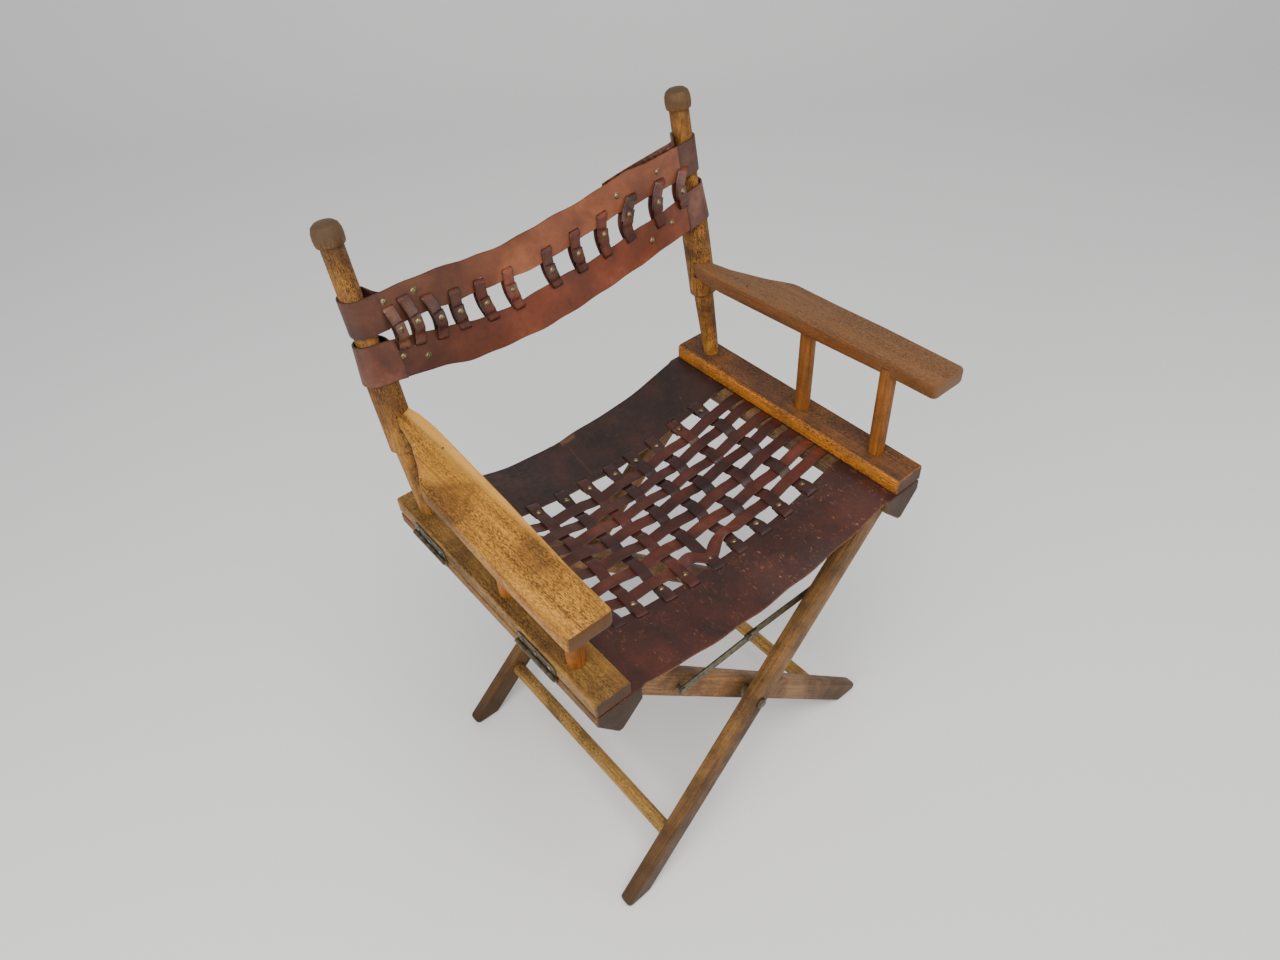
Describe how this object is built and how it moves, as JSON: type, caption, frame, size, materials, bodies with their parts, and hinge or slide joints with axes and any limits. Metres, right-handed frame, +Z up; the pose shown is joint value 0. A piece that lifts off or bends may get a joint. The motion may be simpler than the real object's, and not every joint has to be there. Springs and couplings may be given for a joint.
{
  "type": "folding armchair",
  "caption": "Folding wooden armchair: crossed leg frames, woven leather seat, hinged arm frames, and a banded and looped leather back between turned posts.",
  "frame": {"origin": "on the floor, under the middle of the opened chair's width and depth", "axes": "+X to the right seen from the front, +Y from the front edge towards the back, +Z up"},
  "size_m": [0.568, 0.447, 0.8637],
  "materials": {
    "wood": "satin",
    "worn_wood": "satin",
    "ironwork": "matt",
    "stay_link": "dull",
    "seat_leather": "satin",
    "strap_leather": "satin",
    "back_leather": "satin"
  },
  "bodies": {
    "outer_frame": {"right_lower_rail": "wood", "outer_front_leg": "wood", "outer_rear_leg": "wood", "outer_stretcher": "wood", "right_front_lower_leaf": "ironwork", "right_rear_lower_leaf": "ironwork", "rear_pivot_bolt": "ironwork", "front_pivot_bolt": "ironwork", "seat_front_band": "seat_leather", "seat_rear_band": "seat_leather", "seat_cross_strap_1": "strap_leather", "seat_cross_strap_2": "strap_leather", "seat_cross_strap_3": "strap_leather", "seat_cross_strap_4": "strap_leather", "seat_cross_strap_5": "strap_leather", "seat_cross_strap_6": "strap_leather", "seat_cross_strap_7": "strap_leather", "seat_long_strap_1": "strap_leather", "seat_long_strap_2": "strap_leather", "seat_long_strap_3": "strap_leather", "seat_long_strap_4": "strap_leather", "seat_long_strap_5": "strap_leather", "seat_long_strap_6": "strap_leather", "seat_long_strap_7": "strap_leather", "seat_long_strap_8": "strap_leather", "seat_long_strap_9": "strap_leather"},
    "inner_frame": {"left_lower_rail": "wood", "inner_front_leg": "wood", "inner_rear_leg": "wood", "inner_stretcher": "wood", "left_front_lower_leaf": "ironwork", "left_rear_lower_leaf": "ironwork"},
    "arm_right": {"right_upper_rail": "wood", "right_post": "worn_wood", "right_arm": "wood", "right_front_spindle": "wood", "right_middle_spindle": "wood", "right_front_upper_leaf": "ironwork", "right_rear_upper_leaf": "ironwork", "back_upper_band": "back_leather", "back_lower_band": "back_leather", "back_tangled_loops": "strap_leather", "back_loop_1": "strap_leather", "back_loop_2": "strap_leather", "back_loop_3": "strap_leather", "back_loop_4": "strap_leather", "back_loop_5": "strap_leather", "back_loop_6": "strap_leather", "back_loop_7": "strap_leather", "back_loop_8": "strap_leather", "back_loop_9": "strap_leather"},
    "arm_left": {"left_upper_rail": "wood", "left_post": "worn_wood", "left_arm": "wood", "left_front_spindle": "wood", "left_middle_spindle": "wood", "left_front_upper_leaf": "ironwork", "left_rear_upper_leaf": "ironwork"},
    "stay_front": {"stay_front_link": "ironwork"},
    "stay_back": {"stay_back_link": "stay_link"}
  },
  "joints": [
    {"name": "fold", "type": "hinge", "parent": "outer_frame", "child": "inner_frame", "pos_m": [0, 0, 0.236], "axis": [0, 1, 0], "range_deg": [0, 74], "deforming": ["seat_front_band", "seat_rear_band", "seat_cross_strap_1", "seat_cross_strap_2", "seat_cross_strap_3", "seat_cross_strap_4", "seat_cross_strap_5", "seat_cross_strap_6", "seat_cross_strap_7", "seat_long_strap_1", "seat_long_strap_2", "seat_long_strap_3", "seat_long_strap_4", "seat_long_strap_5", "seat_long_strap_6", "seat_long_strap_7", "seat_long_strap_8", "seat_long_strap_9", "back_upper_band", "back_lower_band", "back_tangled_loops", "back_loop_1", "back_loop_2", "back_loop_3", "back_loop_4", "back_loop_5", "back_loop_6", "back_loop_7", "back_loop_8", "back_loop_9"]},
    {"name": "arm_right", "type": "hinge", "parent": "outer_frame", "child": "arm_right", "pos_m": [0.2605, 0, 0.4805], "axis": [0, 1, 0], "range_deg": [0, 37]},
    {"name": "arm_left", "type": "hinge", "parent": "inner_frame", "child": "arm_left", "pos_m": [-0.2605, 0, 0.4805], "axis": [0, 1, 0], "range_deg": [-37, 0]},
    {"name": "stay_anchor", "type": "hinge", "parent": "inner_frame", "child": "stay_front", "pos_m": [-0.11219, -0.17653, 0.34867], "axis": [0, 1, 0], "range_deg": [0, 43.13]},
    {"name": "stay_middle", "type": "hinge", "parent": "stay_front", "child": "stay_back", "pos_m": [0, -0.17653, 0.35117], "axis": [0, 1, 0], "range_deg": [-160.21, 0]}
  ],
  "couplings": [
    {"joint": "arm_right", "follows": "fold", "ratio": 0.5},
    {"joint": "arm_left", "follows": "fold", "ratio": -0.5},
    {"joint": "stay_anchor", "follows": "fold", "ratio": 0.58213},
    {"joint": "stay_middle", "follows": "fold", "ratio": -2.1643}
  ]
}
